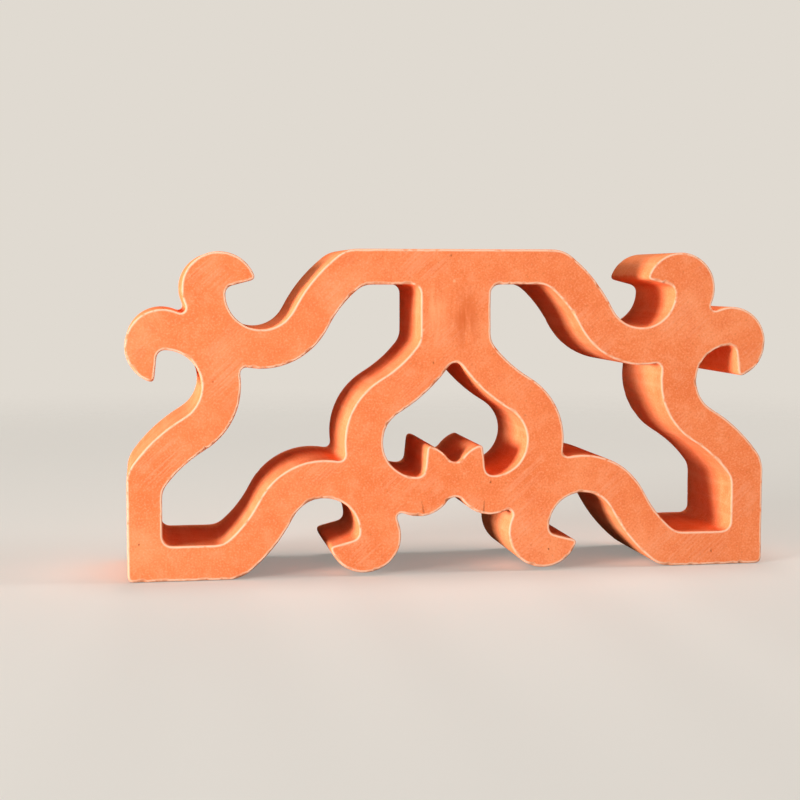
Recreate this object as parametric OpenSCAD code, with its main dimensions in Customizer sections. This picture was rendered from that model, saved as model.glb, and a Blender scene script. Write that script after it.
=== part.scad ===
// Breeze block: an upright ventilation block of fired clay with a heart and two scrolled windows.
//
// The block is extruded through a die and cut to depth, so one outline is true from face to face.
// That outline comes from a cell, the right half of the block. Two scrolls grow from the cell's
// upper outer corner, one along the top and one down the end. Half a turn about the middle of the
// cell gives the foot and the heart, and a mirror in the stem gives the other half of the block.
// The front face looks along -Y and the block stands on Z = 0.

/* [Block] */

// Length along the wall
block_length = 300; // [280:1:360]

// Height of one course
block_height = 150; // [140:1:190]

// Depth through the wall, from face to face
block_depth = 60; // [40:1:120]

/* [Walls] */

// Thickness of the top bar and of the two feet
bar_thickness = 16.5; // [12:0.5:22]

// Thickness of the two end walls
end_thickness = 16; // [12:0.5:22]

// Width of the stem between the two windows
stem_width = 33; // [24:0.5:44]

// Thickness of the clay band that runs along each slope and round each hollow
band_thickness = 18; // [14:0.25:20]

/* [Scrolls] */

// Radius of the shoulder where a straight edge bends into its scroll
shoulder_radius = 15; // [8:0.5:24]

// Distance along the edge from the shoulder's centre to the hollow's
shoulder_run = 43.5; // [40:0.25:48]

// Share of the whole bend that the shoulder makes, before the long slope makes the rest
shoulder_share = 0.74; // [0.5:0.01:0.9]

// Radius of the shoulder on the side of the window
window_shoulder_radius = 9.5; // [4:0.5:16]

// Radius of the hollow in each scroll
hollow_radius = 16; // [14:0.25:17]

// Distance of the upper hollow's centre from the end of the block
top_hollow_reach = 61; // [59:0.25:63]

// Distance of the upper hollow's centre below the top
top_hollow_depth = 20.25; // [18:0.25:22]

// Distance of the side hollow's centre below the top
side_hollow_reach = 61.5; // [60:0.25:64]

// Distance of the side hollow's centre from the end of the block
side_hollow_depth = 17.75; // [16.5:0.25:20]

// Radius of the throat where the hollow ends under the hook
throat_radius = 3.5; // [2:0.25:6]

/* [Hooks] */

// Radius of the round back of each hook
hook_radius = 17; // [16:0.25:17.5]

// Distance of the upper hook's centre from the end of the block
top_hook_reach = 42.25; // [41:0.25:44]

// Clearance of the upper hook below the bearing face of the top
top_hook_clearance = 1.25; // [0:0.25:3]

// Distance of the side hook's centre below the top
side_hook_reach = 43.75; // [42:0.25:45]

// Angle of the tip, seen from the hook's centre, towards the edge of the block
tip_angle = 21; // [14:1:28]

// Radius of the tip
tip_radius = 1.75; // [1:0.25:3]

/* [Fillets] */

// Radius in the notch between the two hooks of a corner
notch_radius = 2; // [1.5:0.25:6]

// Radius above and below the web that joins the two hooks at the middle
web_radius = 4; // [2:0.25:6]

// Radius of the heart's point
heart_point_radius = 3.5; // [2:0.25:8]

// Radius in the square corners of each window
window_corner_radius = 4; // [1:0.25:8]

// Radius where two scrolls meet in a window
window_cusp_radius = 2.5; // [1:0.25:5]

// Radius of the outer corners of the feet
foot_corner_radius = 2.5; // [0.5:0.25:6]

/* [Hidden] */

terracotta = [0.93, 0.53, 0.34];

cell = [block_length / 2, block_height];

// Greatest distance between an arc and the chords that stand for it
arc_sag = 0.04;

// Points closer than this are one point
same_point = 0.01;

// An arc is written [x, y, r] with its centre and radius. An outline is a ring of arcs, and the
// straight lines that touch each arc and the next are its edges. It turns left round an arc with
// r > 0 and right round one with r < 0. All outlines run clockwise.

// Direction of the line that touches two arcs
function heading(a, b) =
    let (way = [b.x - a.x, b.y - a.y])
    atan2(way.y, way.x) - asin(max(-1, min(1, (b.z - a.z) / norm(way))));

// Left turn between two directions, from just under 0 to 359 degrees
function left_turn(from, to) =
    let (turn = to - from + 1)
    turn - 360 * floor(turn / 360) - 1;

// Points along an arc between two directions of travel
function arc_points(arc, from, to) =
    let (
        turn = arc.z > 0 ? left_turn(from, to) : -left_turn(to, from),
        step = 2 * acos(1 - arc_sag / abs(arc.z)),
        count = max(1, ceil(abs(turn) / step))
    )
    [for (i = [0:count]) let (a = from + turn * i / count) [arc.x + arc.z * sin(a), arc.y - arc.z * cos(a)]];

// Points of a whole ring of arcs. Arcs that touch share a point, which is kept once.
function outline(arcs) =
    let (
        last = len(arcs) - 1,
        points = [
            for (i = [0:last])
                let (
                    before = arcs[i == 0 ? last : i - 1],
                    after = arcs[i == last ? 0 : i + 1]
                )
                each arc_points(arcs[i], heading(before, arcs[i]), heading(arcs[i], after))
        ],
        count = len(points)
    )
    [for (i = [0:count - 1]) if (norm(points[i] - points[(i + 1) % count]) > same_point) points[i]];

function arc(centre, radius) = [centre.x, centre.y, radius];

function reversed(arcs) = [for (i = [len(arcs) - 1:-1:0]) arcs[i]];

// Centres of the two arcs of a given radius that touch both a and b from outside
function nestled(a, b, radius) =
    let (
        way = [b.x - a.x, b.y - a.y],
        gap = norm(way),
        along = way / gap,
        across = [-along.y, along.x],
        reach_a = abs(a.z) + radius,
        reach_b = abs(b.z) + radius,
        run = (gap * gap + reach_a * reach_a - reach_b * reach_b) / (2 * gap),
        rise = sqrt(max(0, reach_a * reach_a - run * run)),
        foot = [a.x, a.y] + along * run
    )
    [foot + across * rise, foot - across * rise];

// Places for arcs given as [distance from the corner, depth from the edge, radius]
function along_top(arcs) = [for (a = arcs) [cell.x - a.x, cell.y - a.y, a.z]];
function down_end(arcs) = [for (a = arcs) [cell.x - a.y, cell.y - a.x, a.z]];

// Half a turn about the middle of the cell
function half_turned(arcs) = [for (a = arcs) [cell.x - a.x, cell.y - a.y, a.z]];

// The other half of the block, still clockwise
function mirrored(arcs) = reversed([for (a = arcs) [-a.x, a.y, a.z]]);

// One scroll, going towards the corner: shoulder, slope, hollow, throat, tip and hook. The shoulder
// makes its share of the bend, and the slope is the one long arc that leaves it smoothly and
// touches the hollow.
function scroll(hollow, hook) =
    let (
        shoulder = [hollow.x + shoulder_run, shoulder_radius, -shoulder_radius],
        way = [shoulder_run, hollow.y - shoulder.y],
        reach = hollow.z - shoulder.z,
        whole = asin(min(1, reach / norm(way))) + atan2(way.y, way.x),
        out = [sin(shoulder_share * whole), -cos(shoulder_share * whole)],
        extra = (way * way - reach * reach) / (2 * (reach - way * out))
    )
    [
        shoulder,
        [shoulder.x + extra * out.x, shoulder.y - extra * out.y, shoulder.z - extra],
        hollow,
        arc([hollow.x - hollow.z + throat_radius, hollow.y], throat_radius),
        arc([hook.x, hook.y] + (hook_radius - tip_radius) * [cos(tip_angle), -sin(tip_angle)], -tip_radius),
        hook
    ];

// The window's side of a scroll: its own shoulder under the wall, then the slope and the hollow at
// the thickness of the band
function window_side(scroll, wall) =
    let (
        slope = scroll[1],
        hollow = scroll[2],
        depth = wall + window_shoulder_radius,
        reach = -slope.z - band_thickness - window_shoulder_radius,
        run = sqrt(max(0, reach * reach - pow(depth - slope.y, 2)))
    )
    [
        [slope.x - run, depth, -window_shoulder_radius],
        [slope.x, slope.y, slope.z + band_thickness],
        [hollow.x, hollow.y, hollow.z + band_thickness]
    ];

top_hollow = [top_hollow_reach, top_hollow_depth, hollow_radius];
side_hollow = [side_hollow_reach, side_hollow_depth, hollow_radius];
top_hook = [top_hook_reach, hook_radius + top_hook_clearance, -hook_radius];
side_hook = [side_hook_reach, hook_radius, -hook_radius];

top_scroll_arcs = scroll(top_hollow, top_hook);
side_scroll_arcs = scroll(side_hollow, side_hook);

// Outer outline of the cell's upper corner, clockwise from the end of the top seat
top_scroll = along_top(top_scroll_arcs);
side_scroll = reversed(down_end(side_scroll_arcs));
notch = arc(nestled(top_scroll[5], side_scroll[0], notch_radius)[0], notch_radius);

// Half a turn takes the top scroll to the foot and the side scroll to the heart. The heart's side
// of the web and its point lie on the mirror line, so the last shoulder of the heart falls away.
foot_scroll = half_turned(top_scroll);
heart_scroll = half_turned([for (i = [0:4]) side_scroll[i]]);
heart_hook = heart_scroll[0];
heart_slope = heart_scroll[4];
web_centres = nestled(heart_hook, mirrored([heart_hook])[0], web_radius);
heart_point = nestled(heart_slope, mirrored([heart_slope])[0], heart_point_radius)[0];

foot_corner = [cell.x - foot_corner_radius, foot_corner_radius, -foot_corner_radius];
half_outline = concat(
    top_scroll, [notch], side_scroll, [foot_corner], foot_scroll, half_turned([notch]), [heart_hook]
);
block_outline = concat(half_outline, [arc(web_centres[0], web_radius)], mirrored(half_outline));

heart_outline = concat(
    [arc(web_centres[1], web_radius)],
    heart_scroll,
    [arc(heart_point, heart_point_radius)],
    mirrored(heart_scroll)
);

// Four window sides, clockwise: under the top bar, inside the end wall, over the foot and beside
// the stem
window_top = along_top(window_side(top_scroll_arcs, bar_thickness));
window_end = reversed(down_end(window_side(side_scroll_arcs, end_thickness)));
window_foot = half_turned(window_top);
window_stem = half_turned(reversed(down_end(window_side(side_scroll_arcs, stem_width / 2))));
window_cusp = arc(nestled(window_top[2], window_end[0], window_cusp_radius)[1], -window_cusp_radius);
upper_corner = [
    stem_width / 2 + window_corner_radius,
    cell.y - bar_thickness - window_corner_radius,
    -window_corner_radius
];
lower_corner = [
    cell.x - end_thickness - window_corner_radius,
    bar_thickness + window_corner_radius,
    -window_corner_radius
];

window_outline = concat(
    [upper_corner], window_top, [window_cusp], window_end,
    [lower_corner], window_foot, half_turned([window_cusp]), window_stem
);

module block_profile() {
    difference() {
        polygon(outline(block_outline));
        polygon(outline(heart_outline));
        polygon(outline(window_outline));
        polygon(outline(mirrored(window_outline)));
    }
}

module block() {
    color(terracotta)
        rotate([90, 0, 0])
            linear_extrude(height = block_depth, center = true)
                block_profile();
}

block();
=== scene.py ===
"""Looks of a breeze block: extruded and wire-cut terracotta, on a plain pale stage.

The block is a fired clay body with two kinds of surface. The die leaves the walls smooth, with faint
lines along the depth. The cutting wire leaves the two faces open and grainy, with worn edges that
tear where the wire leaves the clay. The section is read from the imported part, so the mesh here
follows it at any size.
"""

import logging
import math
from dataclasses import dataclass, field
from enum import Enum
from typing import Any, NamedTuple

import bpy
import numpy as np
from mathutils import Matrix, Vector, kdtree, noise
from mathutils.geometry import delaunay_2d_cdt


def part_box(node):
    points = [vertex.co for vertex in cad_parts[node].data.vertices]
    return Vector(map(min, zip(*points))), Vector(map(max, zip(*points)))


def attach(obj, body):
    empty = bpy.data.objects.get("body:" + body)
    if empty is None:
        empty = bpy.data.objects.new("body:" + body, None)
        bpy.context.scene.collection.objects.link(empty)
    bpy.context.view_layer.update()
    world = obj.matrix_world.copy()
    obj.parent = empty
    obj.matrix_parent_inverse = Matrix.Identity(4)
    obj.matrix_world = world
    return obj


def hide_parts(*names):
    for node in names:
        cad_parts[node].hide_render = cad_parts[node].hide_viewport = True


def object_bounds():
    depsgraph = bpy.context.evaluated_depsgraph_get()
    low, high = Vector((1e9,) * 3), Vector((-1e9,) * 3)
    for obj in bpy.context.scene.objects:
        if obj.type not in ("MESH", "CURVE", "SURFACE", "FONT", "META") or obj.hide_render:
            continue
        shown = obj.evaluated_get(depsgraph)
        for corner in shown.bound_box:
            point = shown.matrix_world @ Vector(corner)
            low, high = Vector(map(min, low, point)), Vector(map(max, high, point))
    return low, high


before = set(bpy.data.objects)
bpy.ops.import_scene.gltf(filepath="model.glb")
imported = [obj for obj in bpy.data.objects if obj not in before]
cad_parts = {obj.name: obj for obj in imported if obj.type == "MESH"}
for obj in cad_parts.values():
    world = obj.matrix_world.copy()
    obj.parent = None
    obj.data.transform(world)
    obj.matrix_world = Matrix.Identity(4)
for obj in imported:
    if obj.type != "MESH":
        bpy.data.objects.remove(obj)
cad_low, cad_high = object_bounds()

log = logging.getLogger("breeze_block")

MM = 0.001

Tree = bpy.types.NodeTree
Socket = bpy.types.NodeSocket
Paint = Socket | tuple[float, float, float, float]
Each = np.ndarray | float  # one value for each point, or one for all

# Sockets of a colour mix go by number, because their names are used twice.
MIX_SHARE, MIX_UNDER, MIX_OVER, MIX_RESULT = 0, 6, 7, 2

# Most of a shader's noise lies between these two values.
NOISE_LOW, NOISE_HIGH = 0.3, 0.7

# Seeds of the mesh's noise, one for each use.
SHORT_WAVES, LONG_WAVES, CRUMBS, WALL_RELIEF, FACE_RELIEF = 3.0, 5.0, 9.0, 20.0, 40.0
# Number of the random draws inside a cut face, which no edge has.
FILL_DRAWS = 99
# Points closer than this, in millimetres, are one point in the triangles of a cut face.
SAME_POINT = 1e-6


def linear(hex_colour: str) -> tuple[float, float, float, float]:
    """Turn an sRGB colour into the linear values that shaders and lamps take.

    Args:
        hex_colour: colour as "#RRGGBB".

    Returns:
        Red, green and blue in linear light, and an alpha of 1.
    """
    shares = [int(hex_colour[i : i + 2], 16) / 255 for i in (1, 3, 5)]
    red, green, blue = [s / 12.92 if s <= 0.04045 else ((s + 0.055) / 1.055) ** 2.4 for s in shares]
    return red, green, blue, 1.0


def add_node(tree: Tree, kind: str, inputs: dict[Any, Any], **settings: Any) -> bpy.types.Node:
    """Add a shader node, with its settings and links.

    Args:
        tree: node tree that takes the node.
        kind: Blender's name of the node, without its "ShaderNode".
        inputs: a value, or the output that feeds it, for each input by name or number.
        settings: attributes of the node.

    Returns:
        The new node.
    """
    node = tree.nodes.new("ShaderNode" + kind)
    for name, value in settings.items():
        setattr(node, name, value)
    for key, value in inputs.items():
        if isinstance(value, Socket):
            tree.links.new(value, node.inputs[key])
        else:
            node.inputs[key].default_value = value
    return node


def emptied(owner: bpy.types.Material | bpy.types.World) -> Tree:
    """Give a material or a world an empty node tree.

    Args:
        owner: the material or the world.

    Returns:
        Its node tree.
    """
    owner.use_nodes = True
    owner.node_tree.nodes.clear()
    return owner.node_tree


def placed(data: bpy.types.ID) -> bpy.types.Object:
    """Put a mesh, a lamp or a camera into the scene.

    Args:
        data: the mesh, the lamp or the camera.

    Returns:
        The object that holds it, of the same name.
    """
    holder = bpy.data.objects.new(data.name, data)
    bpy.context.scene.collection.objects.link(holder)
    return holder


def shown_rays(tree: Tree) -> Socket:
    """Tell the rays that show a thing to the eye: seen, mirrored or through glass.

    Args:
        tree: node tree that takes the nodes.

    Returns:
        1 for a camera, glossy or transmission ray and 0 for light on its way.
    """
    rays = add_node(tree, "LightPath", {}).outputs
    bent = {0: rays["Is Glossy Ray"], 1: rays["Is Transmission Ray"]}
    bent_ray = add_node(tree, "Math", bent, operation="MAXIMUM").outputs[0]
    shown = {0: rays["Is Camera Ray"], 1: bent_ray}
    return add_node(tree, "Math", shown, operation="MAXIMUM").outputs[0]


def lumps(places: np.ndarray, size: float, seed: float) -> np.ndarray:
    """Give smooth noise at places in space.

    Args:
        places: points (x, y, z), one a row.
        size: about how wide a lump is, in the same unit.
        seed: picks another piece of the noise.

    Returns:
        A value from about -1 to 1 for each point.
    """
    shift = Vector((seed, 7.3 - seed, 2.1 * seed))  # any will do, if each seed has its own
    return np.array([noise.noise(Vector(place) / size + shift) for place in places])


def laid_out(flat: np.ndarray, y: Each, *marks: Each) -> np.ndarray:
    """Lay out points of the section at a depth.

    Args:
        flat: the points, as x + z·j.
        y: the depth.
        marks: further values.

    Returns:
        Rows of x, y, z and the marks.
    """
    columns = (flat.real, y, flat.imag, *marks)
    return np.column_stack([np.broadcast_to(column, flat.shape) for column in columns])


def in_clay(points: np.ndarray, rings: list[np.ndarray]) -> np.ndarray:
    """Tell which points of the section are in the clay.

    Args:
        points: the points, as x + z·j.
        rings: the closed edges, as x + z·j.

    Returns:
        True for each point that an odd number of edges surrounds.
    """
    inside = np.zeros(len(points), bool)
    for ring in rings:
        for a, b in zip(ring, np.roll(ring, -1)):
            if a.imag == b.imag:
                continue
            spans = (a.imag > points.imag) != (b.imag > points.imag)
            cross = a.real + (points.imag - a.imag) * (b.real - a.real) / (b.imag - a.imag)
            inside ^= spans & (points.real < cross)
    return inside


def filled(rings: list[np.ndarray], loose: np.ndarray) -> tuple[np.ndarray, np.ndarray]:
    """Fill the clay between rings with triangles.

    Args:
        rings: the rings, as x + z·j.
        loose: points between them, as x + z·j.

    Returns:
        The loose points, with one more wherever edges of the rings cross, and the triangles, which
        number the points of the rings before the loose ones.
    """
    edges, start = [], 0
    for ring in rings:
        count = len(ring)
        edges += [(start + i, start + (i + 1) % count) for i in range(count)]
        start += count
    in_mm = [Vector((p.real, p.imag)) / MM for p in np.concatenate([*rings, loose])]
    made = delaunay_2d_cdt(in_mm, edges, [], 0, SAME_POINT, True)
    points, triangles, sources = made[0], made[2], made[3]
    number = []
    for point, source in zip(points, sources):
        if not source:
            loose = np.append(loose, complex(*point) * MM)
            source = [start + len(loose) - 1]
            log.info("crossing edges at %.1f, %.1f mm", *point)
        number.append(source[0])
    centres = np.array([sum(complex(*points[i]) for i in t) / 3 for t in triangles]) * MM
    kept = np.array(triangles)[in_clay(centres, rings)]
    return loose, np.array(number)[kept]


class Side(Enum):
    """The two cut faces, by the direction in which each looks along Y."""

    FRONT = -1
    BACK = 1


@dataclass
class Edge:
    """A closed edge of the block's section, walked with the clay on the left.

    Attributes:
        points: places along the edge at even steps, as x + z·j.
        inward: directions into the clay at the points, as x + z·j.
        bend: radius of the tightest bend near each point where the clay bulges, and 1 m elsewhere.
        step: distance between two points.
    """

    points: np.ndarray
    inward: np.ndarray
    bend: np.ndarray
    step: float

    @classmethod
    def through(cls, corners: np.ndarray, step: float, softness: float) -> "Edge":
        """Draw an even, soft edge through the corners of a closed polygon.

        Args:
            corners: corners of the polygon, as x + z·j.
            step: distance wanted between points.
            softness: length over which corners between the chords of an arc are rounded off.

        Returns:
            The edge.
        """
        finer = 4  # points that the bends are worked out from, for each one that stays
        near_bend = 1.5 * MM  # how far along the edge a bend counts for the points beside it
        straight = 1.0  # turn per metre up to which the edge counts as straight
        closed = np.append(corners, corners[0])
        run = np.concatenate([[0.0], np.cumsum(np.abs(np.diff(closed)))])
        count = finer * round(run[-1] / step)
        fine = np.interp(np.arange(count) * run[-1] / count, run, closed)
        waves = np.fft.fftfreq(count, run[-1] / count)
        fine = np.fft.ifft(np.fft.fft(fine) * np.exp(-2 * (math.pi * softness * waves) ** 2))
        way = (np.roll(fine, -1) - np.roll(fine, 1))[::finer]
        way /= np.abs(way)
        true_step = run[-1] * finer / count
        turn = np.angle(np.roll(way, -1) / np.roll(way, 1)) / (2 * true_step)
        beside = math.ceil(near_bend / true_step)
        turn = np.max([np.roll(turn, i) for i in range(-beside, beside + 1)], axis=0)
        return cls(fine[::finer], way * 1j, 1 / np.maximum(turn, straight), true_step)


class Ring(NamedTuple):
    """A ring of points beside an arris: how far it lies from the sharp corner that was there.

    Each distance is a share of the arris's own bite plus a fixed length. pale is how much of the worn
    colour of the arris shows there.
    """

    inset_bites: float
    inset: float
    depth_bites: float
    depth: float
    pale: float


@dataclass(frozen=True)
class EdgeWear:
    """How the arrises of a cut face are worn and torn.

    The wire goes down through the clay, so it drags crumbs out of the edges that it leaves by, which
    are those with air below them.

    Attributes:
        rounding: how much of a calm arris is rubbed away.
        unevenness: how much more or less it is along the edge.
        waves: lengths over which that changes.
        raggedness: how much more the crumbs take, where air is below.
        crumb: size of the crumbs.
        least: what every arris has lost.
        most_of_bend: what it has lost at most, as a share of the radius of a tight bulge.
        chip_spacing: distance between two places where a chip may be.
        chip_length: half the length of a chip, from the smallest to the longest.
        chip_bite: depth of a chip, from the smallest to the deepest.
        chip_grain: how much less or more a chip takes from point to point.
        fresh_from: depth from which a chip shows nothing but fresh clay.
        calm_share: chance of a chip where the clay is below the edge.
        apart: how far from the middle each face reads the noise, so that the two differ.
        seed: seed of the random draws.
    """

    rounding: float = 0.4 * MM
    unevenness: float = 0.12 * MM
    waves: tuple[float, float] = (3.5 * MM, 11 * MM)
    raggedness: float = 0.2 * MM
    crumb: float = 1.7 * MM
    least: float = 0.15 * MM
    most_of_bend: float = 0.45
    chip_spacing: float = 3.5 * MM
    chip_length: tuple[float, float] = (0.6 * MM, 2.4 * MM)
    chip_bite: tuple[float, float] = (0.1 * MM, 0.5 * MM)
    chip_grain: tuple[float, float] = (0.7, 1.3)
    fresh_from: float = 0.4 * MM
    calm_share: float = 0.06
    apart: float = 50 * MM
    seed: int = 11

    def bites(self, edge: Edge, side: Side, number: int) -> tuple[np.ndarray, np.ndarray]:
        """Work out how much of the arris is gone at each point of an edge.

        Args:
            edge: the edge.
            side: the face that the arris borders.
            number: which edge it is, for the random draws.

        Returns:
            The size of the bite at each point, and how much of it is a fresh chip, from 0 to 1.
        """
        draws = np.random.default_rng([self.seed, number, side.value + 1])
        count = len(edge.points)
        place = laid_out(edge.points, side.value * self.apart)
        short, long = self.waves
        waves = lumps(place, short, SHORT_WAVES) + lumps(place, long, LONG_WAVES)
        crumbs = np.clip(edge.inward.imag, 0, 1) * np.abs(lumps(place, self.crumb, CRUMBS))
        bite = self.rounding + self.unevenness * waves + self.raggedness * crumbs
        chip = np.zeros(count)
        at = np.arange(count)
        for _ in range(round(count * edge.step / self.chip_spacing)):
            middle = draws.integers(count)
            reach = draws.uniform(*self.chip_length) / edge.step
            size = draws.uniform() ** 2  # most are small
            torn = max(0.0, edge.inward[middle].imag)
            if draws.uniform() > self.calm_share + (1 - self.calm_share) * torn:
                continue
            away = np.abs((at - middle + count / 2) % count - count / 2) / reach
            low, high = self.chip_bite
            rough = draws.uniform(*self.chip_grain, count)
            bump = np.clip(1 - away**2, 0, 1) * (low + (high - low) * size) * rough
            bite += bump
            chip = np.maximum(chip, np.clip(bump / self.fresh_from, 0, 1))
        return np.clip(bite, self.least, self.most_of_bend * edge.bend), chip


@dataclass(frozen=True)
class Relief:
    """The slow waves of a fired clay surface, always a little inside the true one.

    Attributes:
        broad: half the height of the broad waves.
        broad_size: their width.
        small: half the height of the small waves on them.
        small_size: their width.
    """

    broad: float = 0.11 * MM
    broad_size: float = 48 * MM
    small: float = 0.045 * MM
    small_size: float = 9 * MM

    def hollows(self, places: np.ndarray, seed: float) -> np.ndarray:
        """Return how far the surface lies below the true one at some (x, y, z) places."""
        broad = self.broad * (1 + lumps(places, self.broad_size, seed))
        return broad + self.small * (1 + lumps(places, self.small_size, seed + 1))


class Look(NamedTuple):
    """What the clay looks like so far: its colour and its normal."""

    colour: Paint
    normal: Socket


@dataclass(frozen=True, kw_only=True)
class Layer:
    """Something that shows on the clay by its colour, by its relief or by both.

    Attributes:
        colour: its sRGB colour, if it has one of its own.
        strength: how much of the colour shows where the layer is full.
        rise_mm: how high it stands out, below 0 where it is sunk and 0 where it is flat.
    """

    colour: str | None = None
    strength: float = 1.0
    rise_mm: float = 0.0

    def extent(self, tree: Tree, place: Socket) -> Socket:
        """Find where the layer is.

        Args:
            tree: the material's node tree.
            place: coordinates in millimetres.

        Returns:
            1 where it is full, less where it is faint and 0 where it is not.
        """
        raise NotImplementedError

    def lay(self, tree: Tree, place: Socket, under: Look) -> Look:
        """Lay it over what is there.

        Args:
            tree: the material's node tree.
            place: coordinates in millimetres.
            under: the look underneath.

        Returns:
            The look with the layer on it.
        """
        colour, normal = under
        extent = self.extent(tree, place)
        if self.colour:
            share = add_node(tree, "MapRange", {"Value": extent, "To Max": self.strength}).outputs["Result"]
            mix = {MIX_SHARE: share, MIX_UNDER: colour, MIX_OVER: linear(self.colour)}
            colour = add_node(tree, "Mix", mix, data_type="RGBA").outputs[MIX_RESULT]
        if self.rise_mm:
            relief = {"Height": extent, "Distance": abs(self.rise_mm) * MM, "Normal": normal}
            normal = add_node(tree, "Bump", relief, invert=self.rise_mm < 0).outputs[0]
        return Look(colour, normal)


@dataclass(frozen=True, kw_only=True)
class Pattern(Layer):
    """A noise whose lumps have a real size.

    Attributes:
        size_mm: size of a lump along X, Y and Z.
        turn_deg: turn of the pattern in the cut face.
        detail: octaves of finer noise in it.
        octave_share: strength of each octave, as a share of the one before.
    """

    size_mm: tuple[float, float, float]
    turn_deg: float = 0.0
    detail: float = 2.0
    octave_share: float = 0.55

    def extent(self, tree: Tree, place: Socket) -> Socket:
        """Draw the noise.

        Args:
            tree: the material's node tree.
            place: coordinates in millimetres.

        Returns:
            The noise, most of it from NOISE_LOW to NOISE_HIGH.
        """
        turn = {"Vector": place, "Angle": math.radians(self.turn_deg)}
        turned = add_node(tree, "VectorRotate", turn, rotation_type="Y_AXIS").outputs[0]
        per_lump = tuple(1 / size for size in self.size_mm)
        scaled = add_node(tree, "VectorMath", {0: turned, 1: per_lump}, operation="MULTIPLY").outputs[0]
        lumpy = {"Vector": scaled, "Scale": 1.0, "Detail": self.detail, "Roughness": self.octave_share}
        return add_node(tree, "TexNoise", lumpy).outputs["Fac"]


@dataclass(frozen=True, kw_only=True)
class Patches(Pattern):
    """A noise cut into soft patches.

    Attributes:
        none_at: value of the noise at which there is nothing.
        full_at: value of the noise at which a patch is full.
    """

    none_at: float
    full_at: float

    def most(self, tree: Tree, place: Socket) -> Socket | float:
        """Return the value of a full patch, which some kinds of patches change from place to place."""
        return 1.0

    def extent(self, tree: Tree, place: Socket) -> Socket:
        """Find the patches.

        Args:
            tree: the material's node tree.
            place: coordinates in millimetres.

        Returns:
            The value of a full patch, less at its rim and 0 outside.
        """
        levels = {
            "Value": super().extent(tree, place),
            "From Min": self.none_at,
            "From Max": self.full_at,
            "To Max": self.most(tree, place),
        }
        return add_node(tree, "MapRange", levels, interpolation_type="SMOOTHSTEP").outputs["Result"]


@dataclass(frozen=True, kw_only=True)
class Smear(Patches):
    """Streaks in one soft oval of the front face, where damp clay was wiped.

    Attributes:
        centre_mm: middle of the oval, as x and z.
        reach_mm: half its width and half its height.
    """

    centre_mm: tuple[float, float]
    reach_mm: tuple[float, float]

    def most(self, tree: Tree, place: Socket) -> Socket:
        """Let the streaks fade towards the rim of the oval.

        Args:
            tree: the material's node tree.
            place: coordinates in millimetres.

        Returns:
            1 in the middle of the oval and 0 outside.
        """
        # The depth counts too, so that the streaks stay on the front face.
        centre = (self.centre_mm[0], cad_low.y / MM, self.centre_mm[1])
        flat = (1 / self.reach_mm[0], 1 / min(self.reach_mm), 1 / self.reach_mm[1])
        away = add_node(tree, "VectorMath", {0: place, 1: centre}, operation="SUBTRACT").outputs[0]
        away = add_node(tree, "VectorMath", {0: away, 1: flat}, operation="MULTIPLY").outputs[0]
        away = add_node(tree, "VectorMath", {0: away}, operation="LENGTH").outputs["Value"]
        levels = {"Value": away, "From Min": 1.0, "From Max": 0.0}
        return add_node(tree, "MapRange", levels, interpolation_type="SMOOTHSTEP").outputs["Result"]


@dataclass(frozen=True, kw_only=True)
class DragLines(Patches):
    """Faint parallel lines, here and there, where the wire dragged grit over the clay.

    Attributes:
        spots: where on the face they show.
    """

    spots: Patches = Patches(
        size_mm=(26.0, 26.0, 26.0), turn_deg=15, detail=1.0, none_at=0.47, full_at=0.66
    )

    def most(self, tree: Tree, place: Socket) -> Socket:
        """Return 1 where the lines are plainest, and 0 where there are none."""
        return self.spots.extent(tree, place)


@dataclass(frozen=True, kw_only=True)
class WornEdge(Patches):
    """The pale line, with breaks in it, where an arris is rubbed.

    The attribute pale of the mesh is 1 on the line.
    """

    def most(self, tree: Tree, place: Socket) -> Socket:
        """Return 1 on the line, and less beside it."""
        return add_node(tree, "Attribute", {}, attribute_name="pale").outputs["Fac"]


@dataclass(frozen=True, kw_only=True)
class TornEdge(Layer):
    """The fresh clay where crumbs are torn out of an arris.

    The attribute chip of the mesh is 1 all along a torn place, and pale tells how near the arris is.
    """

    def extent(self, tree: Tree, place: Socket) -> Socket:
        """Find the torn places.

        Args:
            tree: the material's node tree.
            place: coordinates in millimetres.

        Returns:
            1 where the arris is torn, and less beside it.
        """
        pale, chip = (add_node(tree, "Attribute", {}, attribute_name=name) for name in ("pale", "chip"))
        levels = {"Value": chip.outputs["Fac"], "To Max": pale.outputs["Fac"]}
        return add_node(tree, "MapRange", levels).outputs["Result"]


@dataclass(frozen=True, kw_only=True)
class Specks(Layer):
    """Small holes or grains that the wire opened, one at most in each cell of a net.

    Attributes:
        cell_mm: width of a cell.
        width_mm: width of the widest speck.
        share: share of the cells that have one.
        rim: where a speck starts and where it is full, in radii from its middle.
    """

    cell_mm: float
    width_mm: float
    share: float
    rim: tuple[float, float] = (1.3, 0.4)

    def extent(self, tree: Tree, place: Socket) -> Socket:
        """Find the specks.

        Args:
            tree: the material's node tree.
            place: coordinates in millimetres.

        Returns:
            1 in a plain speck, less in a faint one and 0 outside.
        """
        net = {"Vector": place, "Scale": 1 / self.cell_mm, "Randomness": 1.0}
        cells = add_node(tree, "TexVoronoi", net).outputs
        chance = add_node(tree, "SeparateColor", {"Color": cells["Color"]}).outputs[0]
        wide = add_node(tree, "MapRange", {"Value": chance, "From Min": 1 - self.share}).outputs["Result"]
        reach = self.width_mm / 2 / self.cell_mm
        starts, full = (radii * reach for radii in self.rim)
        levels = {"Value": cells["Distance"], "From Min": starts, "From Max": full, "To Max": wide}
        return add_node(tree, "MapRange", levels, interpolation_type="SMOOTHSTEP").outputs["Result"]


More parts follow.
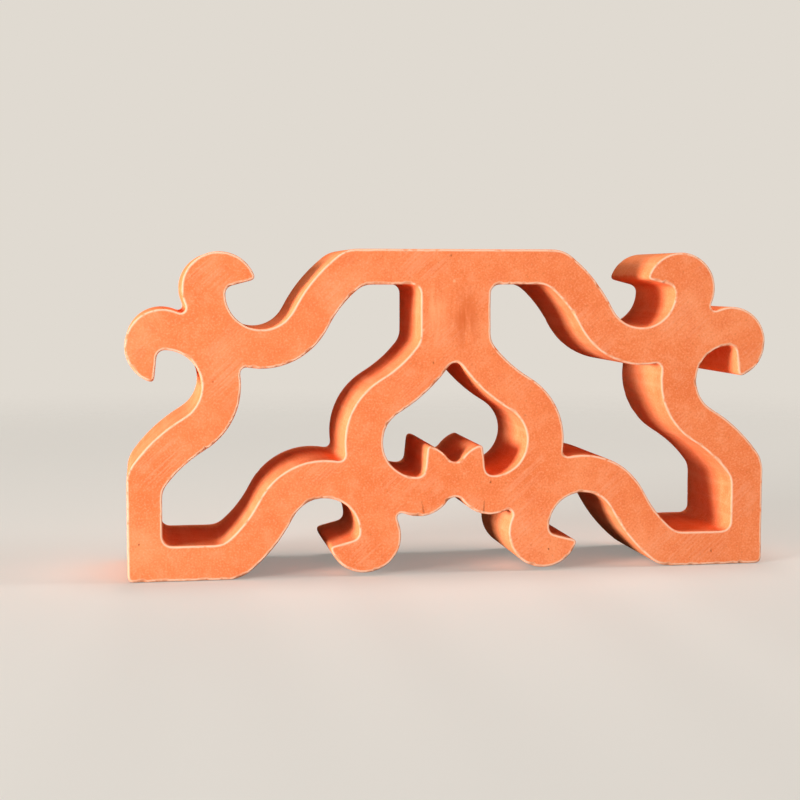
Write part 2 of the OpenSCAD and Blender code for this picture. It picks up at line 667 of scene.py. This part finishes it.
@dataclass(frozen=True, kw_only=True)
class HairlineCrack(Layer):
    """A drying crack that runs up into the front face from an edge.

    Attributes:
        foot_mm: place (x, z) where it opens at the edge.
        tip_mm: place (x, z) where it closes.
        width_mm: its width.
        dark_share: share of the width that is fully dark.
        wander_mm: how far it strays from a straight line.
        wander_size_mm: length over which it strays.
        darkness: how dark it is at its tip and at its foot.
    """

    foot_mm: tuple[float, float]
    tip_mm: tuple[float, float]
    # Such cracks are about 0.2 mm wide. They are drawn at 0.6 mm, the finest that shows.
    width_mm: float = 0.6
    dark_share: float = 0.25
    wander_mm: float = 1.0
    wander_size_mm: float = 2.0
    darkness: tuple[float, float] = (0.3, 0.9)

    def extent(self, tree: Tree, place: Socket) -> Socket:
        """Find the crack.

        Args:
            tree: the material's node tree.
            place: coordinates in millimetres.

        Returns:
            How dark the crack is, and 0 beside it.
        """
        front = cad_low.y / MM
        foot = Vector((self.foot_mm[0], front, self.foot_mm[1]))
        way = Vector((self.tip_mm[0], front, self.tip_mm[1])) - foot
        wander = Vector((1.0, 1.0, 1.0)) * self.wander_mm
        lumpy = {"Vector": place, "Scale": 1 / self.wander_size_mm, "Detail": 1.0}
        sway = {0: add_node(tree, "TexNoise", lumpy).outputs["Color"], 1: wander, 2: -foot - wander / 2}
        shift = add_node(tree, "VectorMath", sway, operation="MULTIPLY_ADD").outputs[0]
        away = add_node(tree, "VectorMath", {0: place, 1: shift}, operation="ADD").outputs[0]
        along = {0: away, 1: way / way.length}
        run = add_node(tree, "VectorMath", along, operation="DOT_PRODUCT").outputs["Value"]
        part = add_node(tree, "MapRange", {"Value": run, "From Max": way.length}).outputs["Result"]
        near = add_node(tree, "VectorMath", {0: way, "Scale": part}, operation="SCALE").outputs[0]
        gap = add_node(tree, "VectorMath", {0: away, 1: near}, operation="DISTANCE").outputs["Value"]
        at_tip, at_foot = self.darkness
        fade = {"Value": part, "From Min": 1.0, "From Max": 0.0, "To Min": at_tip, "To Max": at_foot}
        levels = {
            "Value": gap,
            "From Min": self.width_mm,
            "From Max": self.width_mm * self.dark_share,
            "To Max": add_node(tree, "MapRange", fade).outputs["Result"],
        }
        return add_node(tree, "MapRange", levels, interpolation_type="SMOOTHSTEP").outputs["Result"]


# Sizes of the clay's patterns: the clouds that the fire leaves, the mottling of mixed clay, and sand.
# Sand and crushed brick in the clay are about 0.3 mm. They are drawn at 0.9 mm, the finest that shows.
KILN_CLOUDS: dict[str, Any] = {"size_mm": (34.0, 34.0, 34.0), "detail": 3.0}
MOTTLING: dict[str, Any] = {"size_mm": (7.0, 7.0, 7.0), "turn_deg": 30, "detail": 3.0}
SAND: dict[str, Any] = {"size_mm": (0.9, 0.9, 0.9), "detail": 1.0}
# The streaks in a smear run up and down. The wire's lines are those of grit, about 0.4 mm wide. They
# are drawn at 1.1 mm, the finest that shows.
STREAKS: dict[str, Any] = {"size_mm": (3.0, 20.0, 15.0), "full_at": 0.65}
GRIT: dict[str, Any] = {"size_mm": (34.0, 34.0, 1.1), "turn_deg": 42, "none_at": 0.42, "full_at": 0.62}


@dataclass(frozen=True, kw_only=True)
class Terracotta:
    """The fired clay of both finishes: ochre-orange, matt and dry, clouded by the kiln.

    Terracotta is low-fired earthenware, so it is porous and has no gloss. Its iron gives the orange,
    and the fire leaves soft lighter and darker clouds in it.

    Attributes:
        name: name of the material.
        colour: sRGB colour of the clay.
        stains: clouds of the fire, mottling and grains of sand, from the widest to the finest.
        under_grain: layers of one finish that lie under its grain.
        grain: relief of the sand.
        over_grain: layers of one finish that lie over its grain.
        edges: the arrises, rubbed and torn.
        grain_ends: two values of the grain's noise.
        roughness: how rough the clay is at these two.
        ior: index of refraction of fired clay.
        gloss: specular level, which is nothing on a dry, open surface.
    """

    name: str
    colour: str
    stains: tuple[Patches, ...] = (
        Patches(**KILN_CLOUDS, colour="#F78F5C", none_at=0.5, full_at=0.7),
        Patches(**KILN_CLOUDS, colour="#EA7743", none_at=0.5, full_at=0.3, strength=0.7),
        Patches(**MOTTLING, colour="#F99768", none_at=0.5, full_at=0.68, strength=0.4),
        Patches(**MOTTLING, colour="#E87242", none_at=0.5, full_at=0.34, strength=0.3),
        Patches(**SAND, colour="#FCAE84", none_at=0.5, full_at=0.75, strength=0.33),
        Patches(**SAND, colour="#CE6638", none_at=0.5, full_at=0.25, strength=0.28),
    )
    under_grain: tuple[Layer, ...] = ()
    grain: Pattern
    over_grain: tuple[Layer, ...] = ()
    edges: tuple[Layer, ...] = (
        WornEdge(size_mm=(4.0, 4.0, 4.0), colour="#F7C6A6", none_at=0.24, full_at=0.44),
        TornEdge(colour="#E08353"),
    )
    grain_ends: tuple[float, float] = (0.0, 1.0)
    roughness: tuple[float, float]
    ior: float = 1.5
    gloss: float = 0.0

    def material(self) -> bpy.types.Material:
        """Build the material.

        Returns:
            The material.
        """
        material = bpy.data.materials.new(self.name)
        material.diffuse_color = linear(self.colour)
        tree = emptied(material)
        in_mm = {0: add_node(tree, "TexCoord", {}).outputs["Object"], "Scale": 1 / MM}
        place = add_node(tree, "VectorMath", in_mm, operation="SCALE").outputs[0]
        look = Look(linear(self.colour), add_node(tree, "NewGeometry", {}).outputs["Normal"])
        for layer in (*self.stains, *self.under_grain, self.grain, *self.over_grain, *self.edges):
            look = layer.lay(tree, place, look)
        levels = {"Value": self.grain.extent(tree, place)}
        levels["From Min"], levels["From Max"] = self.grain_ends
        levels["To Min"], levels["To Max"] = self.roughness
        surface = {
            "Base Color": look.colour,
            "Roughness": add_node(tree, "MapRange", levels).outputs["Result"],
            "Normal": look.normal,
            "IOR": self.ior,
            "Specular IOR Level": self.gloss,
        }
        shader = add_node(tree, "BsdfPrincipled", surface)
        add_node(tree, "OutputMaterial", {"Surface": shader.outputs[0]})
        return material


@dataclass(frozen=True, kw_only=True)
class WireCutTerracotta(Terracotta):
    """The two faces, cut with a taut wire while the clay was leather-hard.

    The wire opens the clay, so the eye sees a dry, sandy face with small pores, and faint diagonal
    lines where the wire dragged grit along. The tops of the grain are a little less rough than the
    hollows.
    """

    name: str = "terracotta_fired_wire_cut"
    colour: str = "#F2834F"
    # Darker and lighter streaks down the stem
    under_grain: tuple[Layer, ...] = (
        Smear(**STREAKS, colour="#DA6A39", none_at=0.25, centre_mm=(4.0, 118.0), reach_mm=(11.0, 21.0)),
        Smear(**STREAKS, colour="#FBA06D", none_at=0.35, centre_mm=(-9.0, 121.0), reach_mm=(7.5, 24.0)),
    )
    grain: Pattern = Pattern(size_mm=(0.9, 0.9, 0.9), detail=3.0, rise_mm=0.04)
    over_grain: tuple[Layer, ...] = (
        DragLines(**GRIT, colour="#F6A27A", strength=0.3, rise_mm=0.035),
        # Fine pores, a few wider ones and pale grains of lime. The fine pores are about 0.3 mm wide.
        # They are drawn at 0.9 mm, the finest that shows.
        Specks(cell_mm=2.6, width_mm=0.9, share=0.6, strength=0.28, colour="#B9683A", rise_mm=-0.04),
        Specks(cell_mm=9.0, width_mm=1.15, share=0.5, strength=0.6, colour="#A14E29", rise_mm=-0.25),
        Specks(cell_mm=15.0, width_mm=1.9, share=0.3, strength=0.6, colour="#FDC193"),
        HairlineCrack(foot_mm=(-14.6, 27.2), tip_mm=(-15.6, 33.0), colour="#A5522E"),
        HairlineCrack(foot_mm=(13.4, 27.6), tip_mm=(13.8, 33.4), colour="#A5522E"),
    )
    grain_ends: tuple[float, float] = (NOISE_HIGH, NOISE_LOW)
    roughness: tuple[float, float] = (0.84, 0.96)


@dataclass(frozen=True, kw_only=True)
class ExtrudedTerracotta(Terracotta):
    """The walls, pressed through the die.

    The die draws the finest clay to a skin, so the eye sees a paler, smoother and tighter surface
    than on the faces, with faint straight lines along the depth.
    """

    name: str = "terracotta_fired_extruded"
    colour: str = "#F48754"
    under_grain: tuple[Layer, ...] = (
        # Lighter bands along the depth
        Patches(size_mm=(5.0, 120.0, 5.0), colour="#F9A070", none_at=0.46, full_at=0.7, strength=0.35),
        # Die lines are 0.2 to 1 mm apart. They are drawn at 1.5 mm, the finest that shows.
        Pattern(size_mm=(1.5, 120.0, 1.5), rise_mm=0.09),
    )
    grain: Pattern = Pattern(size_mm=(1.1, 1.1, 1.1), rise_mm=0.03)
    roughness: tuple[float, float] = (0.74, 0.9)


@dataclass
class Skin:
    """The block's mesh while it is made.

    Attributes:
        rows: its points, as rows of x, y, z, how pale and how freshly chipped.
        faces: its faces, by the numbers of their points.
        on_wall: whether each face is on a wall.
    """

    rows: list[np.ndarray] = field(default_factory=list)
    faces: list[list[int]] = field(default_factory=list)
    on_wall: list[bool] = field(default_factory=list)

    def add(self, rows: np.ndarray) -> np.ndarray:
        """Add points.

        Args:
            rows: the points.

        Returns:
            Their numbers.
        """
        start = sum(len(earlier) for earlier in self.rows)
        self.rows.append(rows)
        return np.arange(start, start + len(rows))

    def cover(self, faces: np.ndarray, on_wall: bool) -> None:
        """Add faces, by the numbers of their points, to the walls or to the cut faces."""
        self.faces += faces.tolist()
        self.on_wall += [on_wall] * len(faces)

    def mesh(self, name: str, *materials: bpy.types.Material) -> bpy.types.Mesh:
        """Turn the skin into a mesh.

        Args:
            name: name of the mesh.
            materials: material of the cut faces and material of the walls.

        Returns:
            The mesh, with the attributes pale and chip.
        """
        rows = np.concatenate(self.rows)
        mesh = bpy.data.meshes.new(name)
        mesh.from_pydata(rows[:, :3].tolist(), [], self.faces)
        for mark, values in zip(("pale", "chip"), rows[:, 3:].T):
            attribute = mesh.attributes.new(mark, "FLOAT", "POINT")
            attribute.data.foreach_set("value", values.astype(np.float32))
        for material in materials:
            mesh.materials.append(material)
        mesh.polygons.foreach_set("material_index", np.array(self.on_wall, np.int32))
        mesh.polygons.foreach_set("use_smooth", np.ones(len(self.faces), bool))
        mesh.update()
        mesh.validate()
        return mesh


@dataclass
class BlockBody:
    """The fired block itself: four closed edges, the walls between them and two cut faces.

    Attributes:
        node: CAD node that gives the section and the depth.
        slot: the record's material slot, which is not used.
        step: distance between points along an edge.
        softness: length over which the corners between the chords of an arc are rounded off.
        face_grid: distance between points inside a cut face.
        shake: how far they are moved off their grid, as a share of that distance.
        clear: how far they keep from the edges, as a share of that distance.
        most_of_bend: how far the rings may reach into a tight bulge, as a share of its radius.
        along_walls: how much the waves of the walls change along the depth, against across it.
        wall_shares: places of the rings along the walls, as shares of half the depth.
        beside_arris: rings beside each arris, from the face to the wall.
        wear: state of the arrises.
        relief: slow waves of faces and walls.
    """

    node: bpy.types.Object
    slot: str = "fired_terracotta"
    step: float = 0.75 * MM
    softness: float = 0.75 * MM
    face_grid: float = 3.0 * MM
    shake: float = 0.3
    clear: float = 0.55
    most_of_bend: float = 0.7
    along_walls: float = 0.4
    wall_shares: tuple[float, ...] = (0.75, 0.5, 0.25)
    beside_arris: tuple[Ring, ...] = (
        Ring(1, 0.8 * MM, 0, 0, 0.0),
        Ring(1, 0.4 * MM, 0, 0, 0.7),
        Ring(1, 0.1 * MM, 0, 0, 1.0),
        Ring(1, 0, 0.05, 0, 0.8),
        Ring(0.32, 0, 0.32, 0, 0.35),
        Ring(0, 0, 1, 0, 0.12),
        Ring(0, 0, 1, 0.1 * MM, 0.08),
        Ring(0, 0, 1, 0.5 * MM, 0.03),
        Ring(0, 0, 1, 1.3 * MM, 0.0),
    )
    wear: EdgeWear = EdgeWear()
    relief: Relief = Relief()

    def __post_init__(self) -> None:
        """Read the section from the CAD node."""
        self.low, self.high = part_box(self.node.name)
        self.half_depth = (self.high.y - self.low.y) / 2
        self.middle = (self.high.y + self.low.y) / 2
        self.edges = [Edge.through(ring, self.step, self.softness) for ring in self.section()]

    def section(self) -> list[np.ndarray]:
        """Walk the edges of the CAD node's front face, with the clay on the left.

        Returns:
            The corners of each closed edge, as x + z·j.
        """
        near = 0.01 * MM  # points that differ by less are one point
        mesh = self.node.data
        mesh.calc_loop_triangles()
        walks: set[tuple[complex, complex]] = set()
        for triangle in mesh.loop_triangles:
            corners = [mesh.vertices[i].co for i in triangle.vertices]
            if any(c.y - self.low.y > near for c in corners):
                continue
            keys = [complex(round(c.x / near), round(c.z / near)) for c in corners]
            for a, b in zip(keys, keys[1:] + keys[:1]):
                if (b, a) in walks:  # a side of two triangles is no edge
                    walks.remove((b, a))
                else:
                    walks.add((a, b))
        following = dict(sorted(walks, key=lambda walk: (walk[0].real, walk[0].imag)))
        edges = []
        while following:
            start = next(iter(following))
            ring = [start]
            while (after := following.pop(ring[-1])) != start:
                ring.append(after)
            edges.append(np.array(ring) * near)
        return sorted(edges, key=len, reverse=True)

    def dip(self, flat: np.ndarray, side: Side) -> np.ndarray:
        """Return how far a cut face lies below the true one at points x + z·j."""
        return self.relief.hollows(laid_out(flat, side.value), FACE_RELIEF)

    def ring(
        self, edge: Edge, side: Side, y: Each, inset: Each = 0.0, pale: Each = 0.0, chip: Each = 0.0
    ) -> np.ndarray:
        """Place a ring of points on or beside an edge.

        Args:
            edge: the edge.
            side: the half of the block that the ring is in.
            y: distance from the middle of the block, towards the side's face.
            inset: distance into the clay.
            pale: how pale it is.
            chip: how freshly chipped it is.

        Returns:
            Rows of x, y, z, pale and chip.
        """
        depth = self.middle + side.value * y
        place = laid_out(edge.points, depth) * (1, self.along_walls, 1)
        flat = edge.points + edge.inward * (inset + self.relief.hollows(place, WALL_RELIEF))
        return laid_out(flat, depth, pale, chip)

    def half_rings(self, edge: Edge, side: Side, number: int) -> list[np.ndarray]:
        """Make the rings of one edge, from the face to the last one before the middle.

        Args:
            edge: the edge.
            side: the face that the rings start from.
            number: which edge it is.

        Returns:
            The rings, as rows of x, y, z, pale and chip.
        """
        bite, chip = self.wear.bites(edge, side, number)
        face = self.half_depth - self.dip(edge.points, side)
        room = np.minimum(1, self.most_of_bend * edge.bend / (bite + self.beside_arris[0].inset))
        rings = []
        for ring in self.beside_arris:
            y = face - (ring.depth_bites * bite + ring.depth)
            inset = room * (ring.inset_bites * bite + ring.inset)
            rings.append(self.ring(edge, side, y, inset, ring.pale, chip))
        return rings + [self.ring(edge, side, share * self.half_depth) for share in self.wall_shares]

    def add_wall(self, skin: Skin, edge: Edge, number: int) -> tuple[np.ndarray, np.ndarray]:
        """Add the wall along an edge, with a strip of each cut face.

        Args:
            skin: the mesh that it is added to.
            edge: the edge.
            number: which edge it is.

        Returns:
            Numbers of the points where its strips end, on the front face and on the back face.
        """
        front, back = (self.half_rings(edge, side, number) for side in Side)
        centre = self.ring(edge, Side.FRONT, 0.0)
        rings = [skin.add(ring) for ring in (*front, centre, *reversed(back))]
        # The wall starts at the first ring that isn't moved in from it.
        first_on_wall = [ring.inset_bites for ring in self.beside_arris].index(0)
        for i, (near, far) in enumerate(zip(rings, rings[1:])):
            faces = np.column_stack([near, far, np.roll(far, -1), np.roll(near, -1)])
            skin.cover(faces, min(i, len(rings) - 2 - i) >= first_on_wall)
        return rings[0], rings[-1]

    def add_face(self, skin: Skin, side: Side, rims: tuple[np.ndarray, ...]) -> None:
        """Add the inside of a cut face.

        Args:
            skin: the mesh that it is added to.
            side: which face it is.
            rims: numbers of the points round it, one closed rim after the other.
        """
        rows = np.concatenate(skin.rows)
        flat = [rows[rim, 0] + 1j * rows[rim, 2] for rim in rims]
        loose, triangles = filled(flat, self.loose_points(flat, side))
        y = self.middle + side.value * (self.half_depth - self.dip(loose, side))
        numbers = np.concatenate([*rims, skin.add(laid_out(loose, y, 0.0, 0.0))])
        # The triangles all turn one way, as seen from the front, so those of the back are reversed.
        skin.cover(numbers[triangles][:, :: -side.value], False)

    def loose_points(self, rims: list[np.ndarray], side: Side) -> np.ndarray:
        """Scatter points over a cut face, clear of its rims.

        Args:
            rims: the rims, as x + z·j.
            side: which face it is.

        Returns:
            The points, as x + z·j.
        """
        draws = np.random.default_rng([self.wear.seed, FILL_DRAWS, side.value + 1])
        columns = np.arange(self.low.x, self.high.x, self.face_grid)
        rows = np.arange(self.low.z, self.high.z, self.face_grid)
        grid = (columns[None, :] + 1j * rows[:, None]).ravel()
        spread = self.face_grid * self.shake
        for axis in (1, 1j):
            grid = grid + axis * draws.uniform(-spread, spread, len(grid))
        grid = grid[in_clay(grid, rims)]
        tree = kdtree.KDTree(sum(len(rim) for rim in rims))
        for i, point in enumerate(np.concatenate(rims)):
            tree.insert((point.real, point.imag, 0), i)
        tree.balance()
        clear = self.clear * self.face_grid
        return grid[[tree.find((p.real, p.imag, 0))[2] > clear for p in grid]]

    def build(self) -> bpy.types.Object:
        """Build the block's mesh and dress it.

        Returns:
            The finished piece, in place of the CAD node.
        """
        skin = Skin()
        rims = [self.add_wall(skin, edge, number) for number, edge in enumerate(self.edges)]
        for side, around in zip(Side, zip(*rims)):
            self.add_face(skin, side, around)
        finishes = (WireCutTerracotta(), ExtrudedTerracotta())
        mesh = skin.mesh("fired_block", *(finish.material() for finish in finishes))
        piece = placed(mesh)
        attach(piece, "root")
        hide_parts(self.node.name)
        return piece


@dataclass(frozen=True)
class Softbox:
    """A white studio lamp, placed round the block.

    Attributes:
        name: name of the lamp.
        azimuth: degrees round from the front of the block towards its right end.
        elevation: degrees above the horizon.
        distance: distance from the middle of the block.
        size: its width and its height.
        level: brightness that the lamp alone gives a white surface that faces it, where 1 is white.
    """

    name: str
    azimuth: float
    elevation: float
    distance: float
    size: tuple[float, float]
    level: float

    def build(self, target: Vector) -> None:
        """Hang the lamp and aim it.

        Args:
            target: the point that it looks at.
        """
        lamp = bpy.data.lights.new(self.name, "AREA")
        lamp.shape = "RECTANGLE"
        lamp.size, lamp.size_y = self.size
        lamp.energy = self.level * math.pi**2 * self.distance**2
        turn, rise = math.radians(self.azimuth), math.radians(self.elevation)
        away = Vector((math.sin(turn) * math.cos(rise), -math.cos(turn) * math.cos(rise), math.sin(rise)))
        holder = placed(lamp)
        holder.location = target + away * self.distance
        holder.rotation_euler = away.to_track_quat("Z", "Y").to_euler()
        holder.visible_camera = False


@dataclass
class Studio:
    """A pale floor that fades into a pale backdrop, with soft lamps.

    The key lamp grazes the front from the left, as the light in the photograph does, so it reaches
    only the front part of each wall that looks left.

    Attributes:
        floor_colour: sRGB colour of the floor.
        floor_seen_by_block: sRGB colour that it throws back, dull so that shaded walls stay dark.
        backdrop_colour: sRGB colour of the backdrop.
        floor_glow: share of the floor's colour that shows without a lamp.
        shade_level: strength of the light from all sides.
        floor_radius: radius of the floor.
        floor_sides: number of its straight sides.
        fade_from: distance from the block at which the floor starts to turn clear.
        fade_to: distance at which it is clear.
        lamps: the lamps.
    """

    floor_colour: str = "#E5DFD6"
    floor_seen_by_block: str = "#5A5650"
    backdrop_colour: str = "#E0DAD1"
    floor_glow: float = 0.3
    shade_level: float = 0.045
    floor_radius: float = 3.0
    floor_sides: int = 96
    fade_from: float = 0.4
    fade_to: float = 1.2
    lamps: tuple[Softbox, ...] = (
        Softbox("key_left", azimuth=-63, elevation=3.5, distance=2.2, size=(0.8, 0.46), level=2.1),
        Softbox("front_fill", azimuth=-36, elevation=8, distance=2.2, size=(0.8, 0.8), level=0.1),
        Softbox("back_fill", azimuth=180, elevation=2, distance=3.0, size=(0.4, 0.4), level=0.85),
        Softbox("right_fill", azimuth=83, elevation=10, distance=2.2, size=(0.5, 0.5), level=0.75),
        Softbox("overhead", azimuth=150, elevation=86, distance=2.0, size=(0.7, 0.7), level=0.5),
    )

    def world(self) -> None:
        """Set a backdrop that only the camera and reflections see, and a dim light for the rest."""
        world = bpy.data.worlds.new("studio")
        bpy.context.scene.world = world
        tree = emptied(world)
        dim = add_node(tree, "Background", {"Color": linear("#FFFFFF"), "Strength": self.shade_level})
        shown = add_node(tree, "Background", {"Color": linear(self.backdrop_colour), "Strength": 1.0})
        both = add_node(tree, "MixShader", {0: shown_rays(tree), 1: dim.outputs[0], 2: shown.outputs[0]})
        add_node(tree, "OutputWorld", {"Surface": both.outputs[0]})

    def floor(self) -> None:
        """Lay the floor, a disc that turns clear far from the block."""
        material = bpy.data.materials.new("floor_matt_paint")
        tree = emptied(material)
        place = add_node(tree, "TexCoord", {}).outputs["Object"]
        away = add_node(tree, "VectorMath", {0: place}, operation="LENGTH").outputs["Value"]
        levels = {"Value": away, "From Min": self.fade_from, "From Max": self.fade_to}
        fade = add_node(tree, "MapRange", levels, interpolation_type="SMOOTHSTEP").outputs["Result"]
        paint = add_node(tree, "BsdfDiffuse", {"Color": linear(self.floor_colour)}).outputs[0]
        glow = add_node(tree, "Emission", {"Color": linear(self.floor_colour)}).outputs[0]
        dull = add_node(tree, "BsdfDiffuse", {"Color": linear(self.floor_seen_by_block)}).outputs[0]
        clear = add_node(tree, "BsdfTransparent", {}).outputs[0]
        pale = add_node(tree, "MixShader", {0: self.floor_glow, 1: paint, 2: glow}).outputs[0]
        painted = add_node(tree, "MixShader", {0: shown_rays(tree), 1: dull, 2: pale}).outputs[0]
        both = add_node(tree, "MixShader", {0: fade, 1: painted, 2: clear})
        add_node(tree, "OutputMaterial", {"Surface": both.outputs[0]})

        corners = [
            (self.floor_radius * math.cos(a), self.floor_radius * math.sin(a), 0.0)
            for a in np.linspace(0, 2 * math.pi, self.floor_sides, endpoint=False)
        ]
        mesh = bpy.data.meshes.new("floor")
        mesh.from_pydata(corners, [], [list(range(self.floor_sides))])
        mesh.materials.append(material)
        placed(mesh)

    def build(self, target: Vector) -> None:
        """Set up the whole studio.

        Args:
            target: the point that the lamps look at.
        """
        self.world()
        self.floor()
        for lamp in self.lamps:
            lamp.build(target)
            log.info("lamp %s at level %.2f", lamp.name, lamp.level)


@dataclass(frozen=True)
class Viewpoint:
    """The photograph's viewpoint: a little left of the block's middle, a little above it and close.

    Attributes:
        left: distance to the left of the block's middle.
        above: height above the block's middle.
        ahead: distance in front of the front face.
        lens: focal length in millimetres, on a sensor 36 mm wide.
        aim: the point looked at, right of and above the middle of the front face.
    """

    left: float = 0.141
    above: float = 0.062
    ahead: float = 0.690
    lens: float = 69.0
    aim: tuple[float, float] = (-0.026, 0.006)

    def build(self, low: Vector, high: Vector) -> None:
        """Set up the camera.

        Args:
            low: lowest corner of the block.
            high: highest corner of the block.
        """
        middle = (low + high) / 2
        front = Vector((middle.x, low.y, middle.z))
        data = bpy.data.cameras.new("photograph")
        data.lens = self.lens
        data.sensor_width = 36.0
        camera = placed(data)
        camera.location = front + Vector((-self.left, -self.ahead, self.above))
        target = front + Vector((self.aim[0], 0.0, self.aim[1]))
        camera.rotation_euler = (target - camera.location).to_track_quat("-Z", "Y").to_euler()
        bpy.context.scene.camera = camera


def main() -> None:
    """Build the block, the studio and the camera, and report each piece."""
    logging.basicConfig(level=logging.INFO, format="%(message)s")
    bpy.context.scene.view_settings.view_transform = "Standard"
    Viewpoint().build(cad_low, cad_high)
    Studio().build((cad_low + cad_high) / 2)
    block = BlockBody(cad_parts["block"])
    piece = block.build()
    log.info("%s: %d edges, %d faces", piece.name, len(block.edges), len(piece.data.polygons))


if __name__ == "__main__":
    main()
